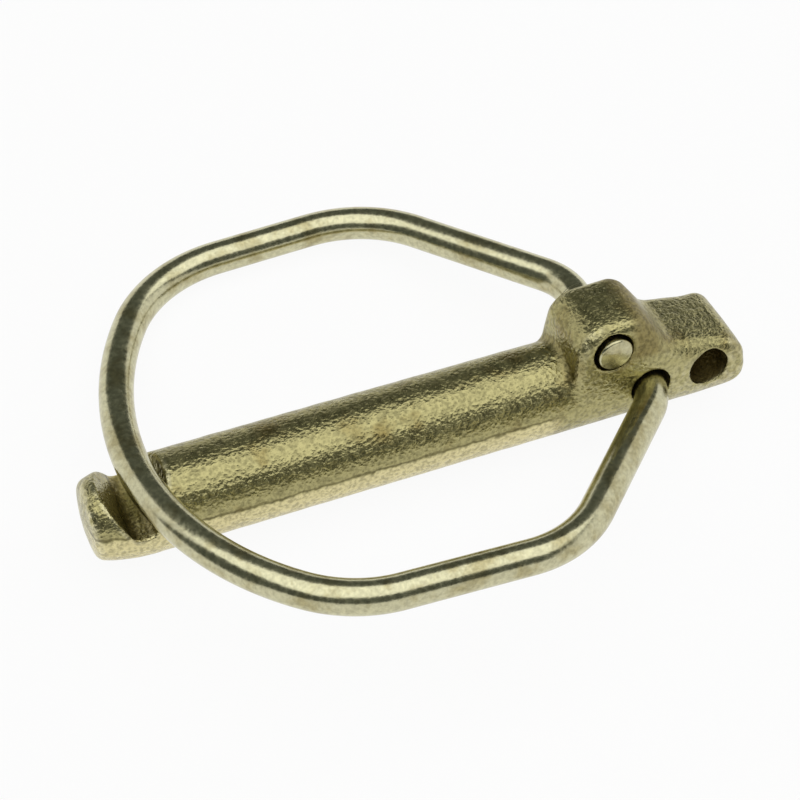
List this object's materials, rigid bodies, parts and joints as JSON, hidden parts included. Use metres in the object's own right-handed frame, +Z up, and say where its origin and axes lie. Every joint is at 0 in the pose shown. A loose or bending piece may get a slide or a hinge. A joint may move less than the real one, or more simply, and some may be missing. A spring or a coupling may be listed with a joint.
{
  "type": "lynch pin",
  "caption": "Forged steel locking pin with a grooved tip, a stepped head and a sprung wire ring that closes over the shaft.",
  "frame": {"origin": "on the shaft's axis, in the plane of the head's shoulder", "axes": "+X along the shaft towards the head, +Z up from the flat surface that the pin lies on; the pin is rolled about X until its ring touches that surface"},
  "size_m": [0.072, 0.0521, 0.0173],
  "materials": {
    "forging": "yellow passivated zinc plating on a blasted forging",
    "wire": "yellow passivated zinc plating on smooth drawn spring wire"
  },
  "bodies": {
    "pin": {"pin": "forging"},
    "ring": {"ring": "wire"},
    "ring_tail": {"ring_tail": "wire"}
  },
  "joints": [
    {"name": "ring_swing", "type": "hinge", "parent": "pin", "child": "ring", "pos_m": [0.00935, 0.00026, 0.00081], "axis": [0, 0.9511, -0.309], "range_deg": [0, 140], "stiffness_Nm_per_rad": 0.06, "springref_deg": -28.65},
    {"name": "ring_tail_turn", "type": "hinge", "parent": "pin", "child": "ring_tail", "pos_m": [0.0048, 0.00213, 0.00656], "axis": [0, 0.9511, -0.309], "range_deg": [0, 140]}
  ],
  "couplings": [
    {"joint": "ring_tail_turn", "follows": "ring_swing", "ratio": 1}
  ]
}
